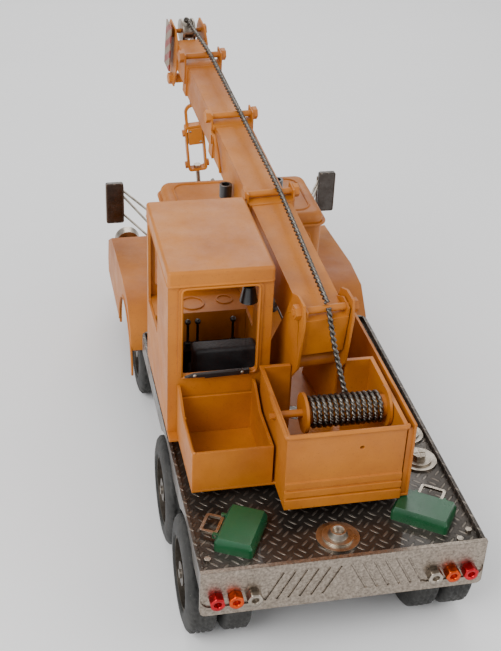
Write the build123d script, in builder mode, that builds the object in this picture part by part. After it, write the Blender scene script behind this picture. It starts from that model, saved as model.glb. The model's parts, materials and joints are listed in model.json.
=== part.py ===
from build123d import *
import os
from math import atan2, cos, degrees, hypot, radians, sin, tan

# Toy crane truck, in millimetres. X points to the truck's right, Y forward and Z up from the floor.
# Lengths along the truck are stations, counted forward from the back edge of the deck.

LENGTH = 397.0            # tail nuts to front bumper
NUT_PROUD = 4.5           # the tail nuts stand behind the deck's back edge
DECK_WIDTH = 145.0
DECK_LENGTH = 218.0
RIM_Z = 69.0              # top of the deck rim
DECK_Z = 66.0             # top of the deck plate
SHEET = 1.5               # thickness of the body sheet
FRAME_TOP = 64.0
FRAME_HEIGHT = 14.0
FRAME_X = 18.0            # half the spacing of the frame rails
BUMPER_HEIGHT = 28.0
NUT_FLATS = 7.0           # M4 nuts serve as the tail lamps

WHEEL_R = 31.0
RIM_R = 20.0
SHAFT_R = 2.5
TYRE_WIDTH = 16.0
REAR_OUTER_X = 68.0       # centre of the outer tyre of each rear pair
REAR_INNER_X = 50.0
FRONT_WHEEL_X = 64.0
AXLE_STATIONS = {"rear": 42.0, "middle": 110.0, "front": 258.0}

CAB_HALF = 48.0
CAB_BACK = 246.0
CAB_FRONT = 304.0
CAB_WALL_TOP = 122.0
CAB_ROOF_TOP = 130.0
NOSE_FRONT = 372.0
BUMPER_BACK = 386.0

SLEW_STATION = 112.0
PLATFORM_Z = 74.0          # clears the toolboxes as the crane turns
PLATFORM_TOP = 75.5
CRANE_CAB_X = (-73.0, -18.0)
CRANE_CAB_Y = (104.5, 184.5)
CRANE_WALL_TOP = 166.0
CRANE_ROOF_TOP = 175.0
REAR_WINDOW = (39.5, 52.0, 138.5)   # width, height and middle Z
BOX_X = (-24.5, 36.5)
BOX_Y = (35.0, 97.0)
BOX_TOP = 119.0
TRAY_X = (-68.0, -26.0)
TRAY_BACK = 54.0
TRAY_TOP = 99.0
DRUM_STATION = 62.0
DRUM_Z = 112.5
DRUM_X = (-10.5, 34.5)
DRUM_FLANGE_R = 10.5
DRUM_CORE_R = 6.0
ROPE_D = 2.6
ROPE_TURNS = 13

PIVOT = (6.5, 92.0, 155.0)   # luffing pin: X, station, Z
BOOM_YAW = 5.2               # the boom sits a little to the left in its cheeks
BOOM_LUFF = 11.0
BOOM_WIDTHS = (23.8, 22.2, 20.6, 19.0)
BOOM_HEIGHT = 24.0
BOOM_WALL = 0.5
SECTION_STEP = 0.8           # each section is this much smaller all round
SECTION_ENDS = (101.0, 182.0, 253.0, 282.0)
SECTION_STARTS = (-5.0, 20.0, 112.0, 192.0)
TOP_DROP = 3.0               # boom's top face lies under the pin line
PIN_R = 2.0
HEAD_ALONG = 292.0
SHEAVE_R = 6.0
SHEAVE_DROP = 4.0
CHEEK_GAP = 25.0
BLOCK_TOP = 60.0             # hook block below the head sheave
BLOCK_BOTTOM = 107.5
HOOK_LEAN = 5.6              # the stiff wire rope leans to the right on its way down
CONSOLE_TOP = 97.0
DASHBOARD_TOP = 116.0
SEAT_Z = 84.0


def y_at(station):
    """Y of a station, so that the origin lies under the middle of the truck."""
    return station + NUT_PROUD - LENGTH / 2


def finish(builder, name):
    builder.part.label = name
    export_step(builder.part, f"parts/{name}.step")


def box_sketch(x_range, y_range):
    """Centre and size of a rectangle given by its X range and its range of stations."""
    centre = ((x_range[0] + x_range[1]) / 2, (y_at(y_range[0]) + y_at(y_range[1])) / 2)
    return centre, x_range[1] - x_range[0], y_range[1] - y_range[0]


def across(x, station, z):
    """Plane whose normal points to the right, for profiles of wheels and side plates."""
    return Plane(origin=(x, y_at(station), z), x_dir=(0, 1, 0), z_dir=(1, 0, 0))


def facing_back(x, station, z):
    """Upright plane whose normal points backwards."""
    return Plane(origin=(x, y_at(station), z), x_dir=(1, 0, 0), z_dir=(0, -1, 0))


turret_frame = Plane(
    origin=(PIVOT[0], y_at(PIVOT[1]), PIVOT[2]),
    x_dir=(cos(radians(BOOM_YAW)), sin(radians(BOOM_YAW)), 0),
    z_dir=(0, 0, 1),
)
boom_frame = Plane(
    origin=turret_frame.origin,
    x_dir=turret_frame.x_dir,
    z_dir=turret_frame.z_dir * cos(radians(BOOM_LUFF)) - turret_frame.y_dir * sin(radians(BOOM_LUFF)),
)


def boom_side(x):
    """Plane of the boom's side profile: local x runs along the boom, local y is up."""
    return Plane(boom_frame.from_local_coords(Vector(x, 0, 0)), x_dir=boom_frame.y_dir,
                 z_dir=boom_frame.x_dir)


def boom_end(along):
    """Plane across the boom: local x runs to the right, local y is up, normal backwards."""
    return Plane(boom_frame.from_local_coords(Vector(0, along, 0)), x_dir=boom_frame.x_dir,
                 z_dir=-boom_frame.y_dir)


def turret_side(x):
    return Plane(turret_frame.from_local_coords(Vector(x, 0, 0)), x_dir=turret_frame.y_dir,
                 z_dir=turret_frame.x_dir)


os.makedirs("parts", exist_ok=True)

# ---------------------------------------------------------------- chassis

with BuildPart() as chassis_frame:
    for side in (-1, 1):
        centre, wide, long = box_sketch((side * FRAME_X - 3, side * FRAME_X + 3), (4, NOSE_FRONT - 6))
        with BuildSketch(Plane.XY.offset(FRAME_TOP)):
            with Locations(centre):
                Rectangle(wide, long)
        extrude(amount=-FRAME_HEIGHT)
        for station in AXLE_STATIONS.values():
            with BuildSketch(across(side * FRAME_X - 3, station, WHEEL_R)):
                with Locations((0, 7.5)):
                    Rectangle(14, 25)
                Circle(SHAFT_R + 0.1, mode=Mode.SUBTRACT)
            extrude(amount=6)
    for station in (12, 76, 146, 200, 236, 330):
        centre, wide, long = box_sketch((-FRAME_X, FRAME_X), (station - 3, station + 3))
        with BuildSketch(Plane.XY.offset(FRAME_TOP)):
            with Locations(centre):
                Rectangle(wide, long)
        extrude(amount=-8)
finish(chassis_frame, "chassis_frame")

with BuildPart() as deck_plate:
    centre, wide, long = box_sketch((-DECK_WIDTH / 2 + 2, DECK_WIDTH / 2 - 2), (2.5, DECK_LENGTH - 2))
    with BuildSketch(Plane.XY.offset(FRAME_TOP)):
        with Locations(centre):
            Rectangle(wide, long)
    extrude(amount=DECK_Z - FRAME_TOP)
finish(deck_plate, "deck_plate")

with BuildPart() as deck_rim:
    outer, wide, long = box_sketch((-DECK_WIDTH / 2, DECK_WIDTH / 2), (2.5, DECK_LENGTH))
    inner, inner_wide, inner_long = box_sketch((-DECK_WIDTH / 2 + 2, DECK_WIDTH / 2 - 2),
                                               (0, DECK_LENGTH - 2))
    with BuildSketch(Plane.XY.offset(RIM_Z - 12)):
        with Locations(outer):
            Rectangle(wide, long)
        with Locations(inner):
            Rectangle(inner_wide, inner_long, mode=Mode.SUBTRACT)
    extrude(amount=12)
    front_corners = deck_rim.edges().filter_by(Axis.Z).group_by(Axis.Y)[-1]
    fillet(front_corners, 5)
    with BuildSketch(facing_back(0, DECK_LENGTH + 2, RIM_Z - 9)):
        Rectangle(120, 8)
    extrude(amount=6, mode=Mode.SUBTRACT)
    for station in (AXLE_STATIONS["rear"], AXLE_STATIONS["middle"]):
        with BuildSketch(across(-DECK_WIDTH / 2 - 1, station, WHEEL_R)):
            Circle(WHEEL_R + 2)
        extrude(amount=DECK_WIDTH + 2, mode=Mode.SUBTRACT)
finish(deck_rim, "deck_rim")

with BuildPart() as rear_bumper:
    with BuildSketch(facing_back(0, 0, RIM_Z + 0.5 - BUMPER_HEIGHT / 2)):
        Rectangle(DECK_WIDTH, BUMPER_HEIGHT)
    extrude(amount=-2.5)
    fillet(rear_bumper.edges().filter_by(Axis.Y).group_by(Axis.Z)[0], 3)
    for side in (-1, 1):
        for step in range(6):
            with BuildSketch(facing_back(side * (7 + step * 5.8), 0, RIM_Z - 13)):
                Rectangle(1.1, 19, rotation=side * 27)
            extrude(amount=-0.6, mode=Mode.SUBTRACT)
        with BuildSketch(facing_back(side * 55.2, 0, RIM_Z - 16.8)):
            SlotOverall(34, 11)
        extrude(amount=-0.8, mode=Mode.SUBTRACT)
finish(rear_bumper, "rear_bumper")

for name, x in (("tail_nuts_red", 64.5), ("tail_nuts_orange", 55.2), ("tail_nuts_clear", 46.0)):
    with BuildPart() as tail_nuts:
        for side in (-1, 1):
            with BuildSketch(facing_back(side * x, 0.8, RIM_Z - 16.8)):
                RegularPolygon(NUT_FLATS / 2, 6, major_radius=False)
                Circle(1.7, mode=Mode.SUBTRACT)
            extrude(amount=NUT_PROUD + 0.8)
    finish(tail_nuts, name)

# ---------------------------------------------------------------- wheels

for name, station in AXLE_STATIONS.items():
    seats = (FRONT_WHEEL_X,) if name == "front" else (REAR_INNER_X, REAR_OUTER_X)
    rim_inner = seats[0] - TYRE_WIDTH / 2 + 1
    rim_outer = seats[-1] + TYRE_WIDTH / 2 - 1
    with BuildPart() as wheelset:
        with BuildSketch(across(-rim_outer - 1, station, WHEEL_R)):
            Circle(SHAFT_R)
        extrude(amount=2 * rim_outer + 2)
        for side in (-1, 1):
            with BuildSketch(across(side * rim_inner, station, WHEEL_R)):
                Circle(RIM_R)
                Circle(RIM_R - SHEET, mode=Mode.SUBTRACT)
            extrude(amount=side * (rim_outer - rim_inner))
            with BuildSketch(across(side * (rim_outer - 6), station, WHEEL_R)):
                Circle(RIM_R - 1)
                with PolarLocations(13, 6):
                    Circle(3.2, mode=Mode.SUBTRACT)
            extrude(amount=side * 2)
            with BuildSketch(across(side * (rim_outer - 5), station, WHEEL_R)):
                Circle(6.5)
            extrude(amount=side * 5)
            with BuildSketch(across(side * (rim_outer - 4.2), station, WHEEL_R)):
                with PolarLocations(8.6, 6):
                    RegularPolygon(1.3, 6)
            extrude(amount=side * 1.6)
    finish(wheelset, f"{name}_wheelset")

    with BuildPart() as tyres:
        for side in (-1, 1):
            for x in seats:
                with BuildSketch(across(side * x - TYRE_WIDTH / 2, station, WHEEL_R)):
                    Circle(WHEEL_R)
                    Circle(RIM_R, mode=Mode.SUBTRACT)
                extrude(amount=TYRE_WIDTH)
        shoulders = tyres.edges().filter_by(GeomType.CIRCLE).filter_by(lambda e: e.radius > RIM_R + 1)
        fillet(shoulders, 3)
    finish(tyres, f"{name}_tyres")

# ---------------------------------------------------------------- truck cab and nose

with BuildPart() as cab_body:
    centre, wide, long = box_sketch((-CAB_HALF, CAB_HALF), (CAB_BACK, CAB_FRONT))
    with BuildSketch(Plane.XY.offset(FRAME_TOP)):
        with Locations(centre):
            RectangleRounded(wide, long, 6)
    extrude(amount=CAB_WALL_TOP - FRAME_TOP)
    with BuildSketch(Plane.XY.offset(FRAME_TOP + SHEET)):
        with Locations(centre):
            RectangleRounded(wide - 2 * SHEET, long - 2 * SHEET, 6 - SHEET)
    extrude(amount=CAB_WALL_TOP, mode=Mode.SUBTRACT)
    with BuildSketch(facing_back(0, CAB_FRONT + 5, 106)):
        with Locations((-20.5, 0), (20.5, 0)):
            RectangleRounded(37, 22, 3)
    extrude(amount=12, mode=Mode.SUBTRACT)
    with BuildSketch(facing_back(0, CAB_BACK + 5, 108)):
        RectangleRounded(44, 16, 3)
    extrude(amount=10, mode=Mode.SUBTRACT)
    with BuildSketch(across(-CAB_HALF - 5, (CAB_BACK + CAB_FRONT) / 2 + 4, 106)):
        RectangleRounded(32, 22, 3)
    extrude(amount=2 * CAB_HALF + 10, mode=Mode.SUBTRACT)
    for side in (-1, 1):
        with BuildSketch(across(side * CAB_HALF, (CAB_BACK + CAB_FRONT) / 2 + 4, 93.5)):
            RectangleRounded(39, 55, 4)
            RectangleRounded(38, 54, 3.6, mode=Mode.SUBTRACT)
        extrude(amount=-side * 0.5, mode=Mode.SUBTRACT)
finish(cab_body, "cab_body")

with BuildPart() as cab_roof:
    centre, wide, long = box_sketch((-CAB_HALF - 1, CAB_HALF + 1), (CAB_BACK - 1, CAB_FRONT + 1.5))
    with BuildSketch(Plane.XY.offset(CAB_WALL_TOP)):
        with Locations(centre):
            RectangleRounded(wide, long, 7)
    extrude(amount=CAB_ROOF_TOP - CAB_WALL_TOP)
    fillet(cab_roof.faces().sort_by(Axis.Z)[-1].edges(), 5)
    with BuildSketch(Plane.XY.offset(CAB_WALL_TOP)):
        with Locations(centre):
            RectangleRounded(wide - 8, long - 8, 4)
    extrude(amount=CAB_ROOF_TOP - CAB_WALL_TOP - 2, mode=Mode.SUBTRACT)
    with BuildSketch(Plane.XY.offset(CAB_WALL_TOP)):
        with Locations(centre):
            RectangleRounded(wide + 3, long + 3, 8.5)
            RectangleRounded(wide - 2, long - 2, 6, mode=Mode.SUBTRACT)
    extrude(amount=1.2)
finish(cab_roof, "cab_roof")

with BuildPart() as hood:
    centre, wide, long = box_sketch((-CAB_HALF, CAB_HALF), (CAB_FRONT, NOSE_FRONT))
    with BuildSketch(Plane.XY.offset(40)):
        with Locations(centre):
            Rectangle(wide, long)
    extrude(amount=32)
    with BuildSketch(facing_back(0, CAB_FRONT, 82)):
        RectangleRounded(70, 26, 7)
    with BuildSketch(facing_back(0, NOSE_FRONT, 77)):
        RectangleRounded(52, 18, 6)
    loft()
    inner, inner_wide, inner_long = box_sketch((-CAB_HALF + SHEET, CAB_HALF - SHEET),
                                               (CAB_FRONT - 1, NOSE_FRONT - SHEET))
    with BuildSketch(Plane.XY.offset(39)):
        with Locations(inner):
            Rectangle(inner_wide, inner_long)
    extrude(amount=32, mode=Mode.SUBTRACT)
finish(hood, "hood")

with BuildPart() as front_fenders:
    for side in (-1, 1):
        with BuildSketch(across(side * (CAB_HALF + 0.5), 0, 0)) as fender_outline:
            with BuildLine():
                crown = Polyline((226, 40), (230, 60), (246, 75), (272, 77), (340, 71), (362, 58),
                                 (368, 40), (366, 30), (226, 30), (226, 40))
            make_face()
            fillet(fender_outline.vertices().group_by(Axis.Z)[1:], 4)
        extrude(amount=side * 29.5)
        with BuildSketch(across(side * (CAB_HALF + 2), 0, 0)) as fender_inside:
            with BuildLine():
                Polyline((228, 28), (228, 40), (232, 59), (247, 73), (272, 75), (339, 69), (360, 57),
                         (366, 40), (364, 28), (228, 28))
            make_face()
        extrude(amount=side * 26.5, mode=Mode.SUBTRACT)
        with BuildSketch(across(side * (CAB_HALF - 2), AXLE_STATIONS["front"], WHEEL_R)):
            Circle(WHEEL_R + 4)
        extrude(amount=side * 36, mode=Mode.SUBTRACT)
finish(front_fenders, "front_fenders")

with BuildPart() as grille:
    with BuildSketch(facing_back(0, NOSE_FRONT + 3, 62)):
        RectangleRounded(54, 38, 4)
        with Locations((0, 0)):
            RectangleRounded(46, 30, 2, mode=Mode.SUBTRACT)
        with GridLocations(5.5, 1, 9, 1):
            Rectangle(2, 34)
    extrude(amount=3)
finish(grille, "grille")

with BuildPart() as front_bumper:
    centre, wide, long = box_sketch((-72, 72), (BUMPER_BACK, LENGTH - NUT_PROUD))
    with BuildSketch(Plane.XY.offset(24)):
        with Locations(centre):
            RectangleRounded(wide, long, 3)
    extrude(amount=13)
    for side in (-1, 1):
        arm, arm_wide, arm_long = box_sketch((side * FRAME_X - 3, side * FRAME_X + 3),
                                             (NOSE_FRONT - 6, BUMPER_BACK + 1))
        with BuildSketch(Plane.XY.offset(26)):
            with Locations(arm):
                Rectangle(arm_wide, arm_long)
        extrude(amount=9)
        stand, stand_wide, stand_long = box_sketch((side * FRAME_X - 3, side * FRAME_X + 3),
                                                   (NOSE_FRONT - 12, NOSE_FRONT - 6))
        with BuildSketch(Plane.XY.offset(26)):
            with Locations(stand):
                Rectangle(stand_wide, stand_long)
        extrude(amount=FRAME_TOP - FRAME_HEIGHT - 26)
finish(front_bumper, "front_bumper")

with BuildPart() as headlamp_shells:
    for side in (-1, 1):
        with BuildSketch(facing_back(side * 63, 368.2, 52)):
            Circle(8.2)
        extrude(amount=-7, taper=-6)
        with BuildSketch(facing_back(side * 63, 370.5, 52)):
            Circle(7.6)
        extrude(amount=-8, mode=Mode.SUBTRACT)
        with BuildSketch(facing_back(side * 63, 369, 52)):
            Circle(2.5)
        extrude(amount=9)
finish(headlamp_shells, "headlamp_shells")

with BuildPart() as headlamp_lenses:
    for side in (-1, 1):
        with BuildSketch(facing_back(side * 63, 370.5, 52)):
            Circle(7.55)
        extrude(amount=-4)
    fillet(headlamp_lenses.faces().sort_by(Axis.Y)[-1].edges(), 2)
finish(headlamp_lenses, "headlamp_lenses")

MIRROR_X = 75.4
MIRROR_STATION = 335.0
with BuildPart() as mirror_housings:
    for side in (-1, 1):
        with BuildSketch(facing_back(side * MIRROR_X, MIRROR_STATION, 100.2)):
            RectangleRounded(12.2, 30, 1.5)
        extrude(amount=-3)
        with BuildSketch(facing_back(side * MIRROR_X, MIRROR_STATION, 100.2)):
            RectangleRounded(10.4, 28.2, 1)
        extrude(amount=-0.8, mode=Mode.SUBTRACT)
finish(mirror_housings, "mirror_housings")

with BuildPart() as mirror_glass:
    for side in (-1, 1):
        with BuildSketch(facing_back(side * MIRROR_X, MIRROR_STATION + 0.8, 100.2)):
            RectangleRounded(10.4, 28.2, 1)
        extrude(amount=0.6)
finish(mirror_glass, "mirror_glass")

with BuildPart() as mirror_rods:
    for side in (-1, 1):
        for outer_z, inner_z in ((109, 104), (105, 92), (91, 84)):
            start = Vector(side * (MIRROR_X - 5.6), y_at(MIRROR_STATION + 2.2), outer_z)
            end = Vector(side * (CAB_HALF - 0.2), y_at(CAB_FRONT - 8), inner_z)
            with BuildSketch(Plane(start, z_dir=end - start)):
                Circle(0.8)
            extrude(amount=(end - start).length)
        with BuildSketch(facing_back(side * (MIRROR_X - 5.6), MIRROR_STATION + 3, 100)):
            Rectangle(2, 22)
        extrude(amount=-1.6)
finish(mirror_rods, "mirror_rods")

# ---------------------------------------------------------------- deck fittings

with BuildPart() as deck_fittings:
    for x, station, radius in ((0, 18, 11), (60, 71, 10), (61, 94, 9)):
        with BuildSketch(Plane.XY.offset(DECK_Z)):
            with Locations((x, y_at(station))):
                Circle(radius)
        extrude(amount=1.2)
        with BuildSketch(Plane.XY.offset(DECK_Z + 1.2)):
            with Locations((x, y_at(station))):
                Circle(radius * 0.72)
        extrude(amount=1.2)
    with BuildSketch(Plane.XY.offset(DECK_Z + 2.4)):
        with Locations((0, y_at(18))):
            Circle(5.2)
            Circle(1.8, mode=Mode.SUBTRACT)
    extrude(amount=3, taper=22)
    with BuildSketch(Plane.XY.offset(DECK_Z + 2.4)):
        with Locations((60, y_at(71)), (61, y_at(94))):
            RegularPolygon(NUT_FLATS / 2, 6, major_radius=False)
    extrude(amount=3)
    with BuildSketch(Plane.XY.offset(DECK_Z + 5)):
        with Locations((60, y_at(71))):
            Rectangle(8, 1)
            Rectangle(1, 8)
    extrude(amount=2, mode=Mode.SUBTRACT)
    with BuildSketch(Plane.XY.offset(DECK_Z)):
        with Locations((67, y_at(12.3)), (60.5, y_at(6.6)), (-67, y_at(12.3))):
            Circle(1.6)
    extrude(amount=1.5)
finish(deck_fittings, "deck_fittings")

TOOLBOX = (30.0, 20.0, 7.4)
BAIL_HALF = 6.0
BAIL_REACH = 8.0
TOOLBOX_PLACES = {"left": (-47.4, 27.4, 62.6), "right": (48.0, 27.3, -34.7)}


def toolbox_plane(side, x=0.0, y=0.0, z=0.0):
    """Plane on a toolbox: local x along its long side, local y towards its handle."""
    place_x, station, turn = TOOLBOX_PLACES[side]
    axis = Vector(cos(radians(turn)), sin(radians(turn)), 0)
    base = Plane(origin=(place_x, y_at(station), DECK_Z), x_dir=axis, z_dir=(0, 0, 1))
    return Plane(base.from_local_coords(Vector(x, y, z)), x_dir=axis, z_dir=(0, 0, 1))


with BuildPart() as toolboxes:
    for side in TOOLBOX_PLACES:
        with BuildSketch(toolbox_plane(side)):
            RectangleRounded(TOOLBOX[0], TOOLBOX[1], 2)
        extrude(amount=TOOLBOX[2] - 3)
        with BuildSketch(toolbox_plane(side, z=TOOLBOX[2] - 3)):
            RectangleRounded(TOOLBOX[0], TOOLBOX[1], 2)
        extrude(amount=3, taper=30)
        lug_y = TOOLBOX[1] / 2 + 1.2
        for lug_x in (-BAIL_HALF - 2.4, BAIL_HALF + 0.9):
            lug = toolbox_plane(side, lug_x, lug_y, 3.4)
            with BuildSketch(Plane(lug.origin, x_dir=lug.y_dir, z_dir=lug.x_dir)):
                with Locations((-0.4, 0)):
                    Rectangle(3.4, 3)
                Circle(0.8, mode=Mode.SUBTRACT)
            extrude(amount=1.5)
finish(toolboxes, "toolboxes")

for side in TOOLBOX_PLACES:
    with BuildPart() as bail:
        lug_y = TOOLBOX[1] / 2 + 1.2
        pivot_rod = toolbox_plane(side, -BAIL_HALF - 2.2, lug_y, 3.4)
        with BuildSketch(Plane(pivot_rod.origin, x_dir=pivot_rod.y_dir, z_dir=pivot_rod.x_dir)):
            Circle(0.7)
        extrude(amount=2 * BAIL_HALF + 4.4)
        with BuildSketch(toolbox_plane(side, 0, lug_y + BAIL_REACH / 2, 2.7)):
            RectangleRounded(2 * BAIL_HALF + 1.4, BAIL_REACH + 1.4, 1.5)
            RectangleRounded(2 * BAIL_HALF - 1.4, BAIL_REACH - 1.4, 0.8, mode=Mode.SUBTRACT)
        extrude(amount=1.4)
    finish(bail, f"toolbox_bail_{side}")

# ---------------------------------------------------------------- turntable and platform

with BuildPart() as turntable_base:
    with BuildSketch(Plane.XY.offset(DECK_Z)):
        with Locations((0, y_at(SLEW_STATION))):
            Circle(30)
    extrude(amount=2.5)
    with BuildSketch(Plane.XY.offset(DECK_Z)):
        with Locations((0, y_at(SLEW_STATION))):
            Circle(6)
    extrude(amount=PLATFORM_TOP - DECK_Z)
finish(turntable_base, "turntable_base")

with BuildPart() as platform:
    for x_range, y_range in (((CRANE_CAB_X[0], 41.5), (BOX_Y[1] + 0.5, 160)),
                             ((CRANE_CAB_X[0], CRANE_CAB_X[1]), (CRANE_CAB_Y[0], CRANE_CAB_Y[1])),
                             ((TRAY_X[0], BOX_X[1]), (TRAY_BACK, BOX_Y[1] + 1)),
                             ((BOX_X[0], 41.5), (BOX_Y[0], BOX_Y[1] + 1)),
                             ((-26, 15), (159, 229))):
        centre, wide, long = box_sketch(x_range, y_range)
        with BuildSketch(Plane.XY.offset(PLATFORM_Z)):
            with Locations(centre):
                Rectangle(wide, long)
        extrude(amount=PLATFORM_TOP - PLATFORM_Z)
    with BuildSketch(Plane.XY.offset(DECK_Z + 2.8)):
        with Locations((0, y_at(SLEW_STATION))):
            Circle(28)
    extrude(amount=PLATFORM_Z - DECK_Z - 2.8)
    with BuildSketch(Plane.XY.offset(DECK_Z)):
        with Locations((0, y_at(SLEW_STATION))):
            Circle(6.1)
    extrude(amount=12, mode=Mode.SUBTRACT)
finish(platform, "platform")

with BuildPart() as boom_posts:
    for x, station in ((-21.3, 220.5), (10.5, 223.4)):
        for radius, base_z, height in ((5, PLATFORM_TOP, 3), (3, PLATFORM_TOP, 88), (3.7, 158, 8)):
            with BuildSketch(Plane.XY.offset(base_z)):
                with Locations((x, y_at(station))):
                    Circle(radius)
            extrude(amount=height)
        with BuildSketch(Plane.XY.offset(160)):
            with Locations((x, y_at(station))):
                Circle(2.4)
        extrude(amount=8, mode=Mode.SUBTRACT)
finish(boom_posts, "boom_posts")

# ---------------------------------------------------------------- crane cab

cab_centre, cab_wide, cab_long = box_sketch(CRANE_CAB_X, CRANE_CAB_Y)
with BuildPart() as crane_cab_walls:
    with BuildSketch(Plane.XY.offset(PLATFORM_TOP)):
        with Locations(cab_centre):
            Rectangle(cab_wide, cab_long)
            Rectangle(cab_wide - 2 * SHEET, cab_long - 2 * SHEET, mode=Mode.SUBTRACT)
    extrude(amount=CRANE_WALL_TOP - PLATFORM_TOP)
    with BuildSketch(facing_back(-45.5, CRANE_CAB_Y[0] + 4, REAR_WINDOW[2])):
        RectangleRounded(REAR_WINDOW[0], REAR_WINDOW[1], 2)
    extrude(amount=8, mode=Mode.SUBTRACT)
    with BuildSketch(facing_back(-45.5, CRANE_CAB_Y[1] + 4, 142)):
        RectangleRounded(46, 40, 2)
    extrude(amount=8, mode=Mode.SUBTRACT)
    with BuildSketch(across(CRANE_CAB_X[0] - 4, 161, 139.5)):
        RectangleRounded(37, 50, 2)
    extrude(amount=cab_wide + 8, mode=Mode.SUBTRACT)
    with BuildSketch(facing_back(-45.5, CRANE_CAB_Y[0], REAR_WINDOW[2])):
        RectangleRounded(REAR_WINDOW[0] + 5, REAR_WINDOW[1] + 3, 3)
        RectangleRounded(REAR_WINDOW[0], REAR_WINDOW[1], 2, mode=Mode.SUBTRACT)
    extrude(amount=0.8)
finish(crane_cab_walls, "crane_cab_walls")

with BuildPart() as crane_cab_roof:
    with BuildSketch(Plane.XY.offset(CRANE_WALL_TOP)):
        with Locations(cab_centre):
            RectangleRounded(cab_wide + 0.8, cab_long + 2, 2)
    extrude(amount=CRANE_ROOF_TOP - CRANE_WALL_TOP)
    fillet(crane_cab_roof.faces().sort_by(Axis.Z)[-1].edges(), 1.8)
    with BuildSketch(Plane.XY.offset(CRANE_WALL_TOP)):
        with Locations(cab_centre):
            Rectangle(cab_wide - 2 * SHEET, cab_long - 2 * SHEET)
    extrude(amount=CRANE_ROOF_TOP - CRANE_WALL_TOP - SHEET, mode=Mode.SUBTRACT)
finish(crane_cab_roof, "crane_cab_roof")

with BuildPart() as dashboard:
    centre, wide, long = box_sketch((-71.4, -19.6), (160, CRANE_CAB_Y[1] - SHEET))
    with BuildSketch(Plane.XY.offset(PLATFORM_TOP)):
        with Locations(centre):
            Rectangle(wide, long)
    extrude(amount=DASHBOARD_TOP - PLATFORM_TOP)
    for x, station, radius in ((-49, 170, 7), (-30, 172, 5)):
        with BuildSketch(Plane.XY.offset(DASHBOARD_TOP)):
            with Locations((x, y_at(station))):
                Circle(radius)
                Circle(radius - 1, mode=Mode.SUBTRACT)
        extrude(amount=0.8)
finish(dashboard, "dashboard")

with BuildPart() as seat_base:
    centre, wide, long = box_sketch((-55, -21), (126, 146))
    with BuildSketch(Plane.XY.offset(PLATFORM_TOP)):
        with Locations(centre):
            Rectangle(wide - 8, long - 4)
    extrude(amount=SEAT_Z - PLATFORM_TOP)
    centre, wide, long = box_sketch((-62, -22), (150, 159.5))
    with BuildSketch(Plane.XY.offset(PLATFORM_TOP)):
        with Locations(centre):
            Rectangle(wide, long)
    extrude(amount=CONSOLE_TOP - PLATFORM_TOP)
finish(seat_base, "seat_base")

with BuildPart() as operator_seat:
    centre, wide, long = box_sketch((-56, -20.5), (128, 147))
    with BuildSketch(Plane.XY.offset(SEAT_Z)):
        with Locations(centre):
            RectangleRounded(wide, long, 3)
    extrude(amount=7)
    centre, wide, long = box_sketch((-56, -20.5), (122, 133))
    with BuildSketch(Plane.XY.offset(SEAT_Z + 3)):
        with Locations(centre):
            RectangleRounded(wide, long, 3)
    extrude(amount=28)
    fillet(operator_seat.faces().sort_by(Axis.Z)[-1].edges(), 2.5)
finish(operator_seat, "operator_seat")

LEVERS = {"lever_left": -54.0, "lever_middle": -48.4, "lever_right": -28.0}
LEVER_STATION = 154.5
LEVER_FOOT_Z = CONSOLE_TOP + 0.4
for name, x in LEVERS.items():
    with BuildPart() as lever:
        with BuildSketch(Plane.XY.offset(LEVER_FOOT_Z)):
            with Locations((x, y_at(LEVER_STATION))):
                Circle(0.8)
        extrude(amount=15)
        with BuildSketch(across(x - 1.5, LEVER_STATION, LEVER_FOOT_Z + 1.6)):
            Circle(1.5)
        extrude(amount=3)
        with Locations((x, y_at(LEVER_STATION), LEVER_FOOT_Z + 16)):
            Sphere(1.8)
    finish(lever, name)

with BuildPart() as work_lamp:
    with BuildSketch(Plane.XY.offset(146)):
        with Locations((-27.5, y_at(120))):
            Circle(5)
    extrude(amount=9, taper=12)
    with BuildSketch(Plane.XY.offset(154)):
        with Locations((-27.5, y_at(120))):
            Circle(1.5)
    extrude(amount=CRANE_ROOF_TOP - SHEET - 154)
finish(work_lamp, "work_lamp")

with BuildPart() as window_wiper:
    with BuildSketch(facing_back(-46.5, CRANE_CAB_Y[0] - 0.8, 113.0)) as wiper_outline:
        with BuildLine():
            Polyline((-18, -0.8), (-13, 0.8), (17, 1.6), (17, -1.4), (-7, -2), (-7, -1.2), (-18, -0.8))
        make_face()
    extrude(amount=2.2)
finish(window_wiper, "window_wiper")

# ---------------------------------------------------------------- tray, winch box and side panel

with BuildPart() as rear_tray:
    centre, wide, long = box_sketch(TRAY_X, (TRAY_BACK, CRANE_CAB_Y[0] - 0.9))
    with BuildSketch(Plane.XY.offset(PLATFORM_TOP)):
        with Locations(centre):
            Rectangle(wide, long)
            Rectangle(wide - 2 * SHEET, long - 2 * SHEET, mode=Mode.SUBTRACT)
    extrude(amount=TRAY_TOP - PLATFORM_TOP)
    for x in (TRAY_X[0], TRAY_X[1] - SHEET):
        with BuildSketch(across(x, 0, 0)):
            with BuildLine():
                Polyline((84, TRAY_TOP), (103.6, TRAY_TOP), (103.6, 107), (99, 107), close=True)
            make_face()
        extrude(amount=SHEET)
finish(rear_tray, "rear_tray")

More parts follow.
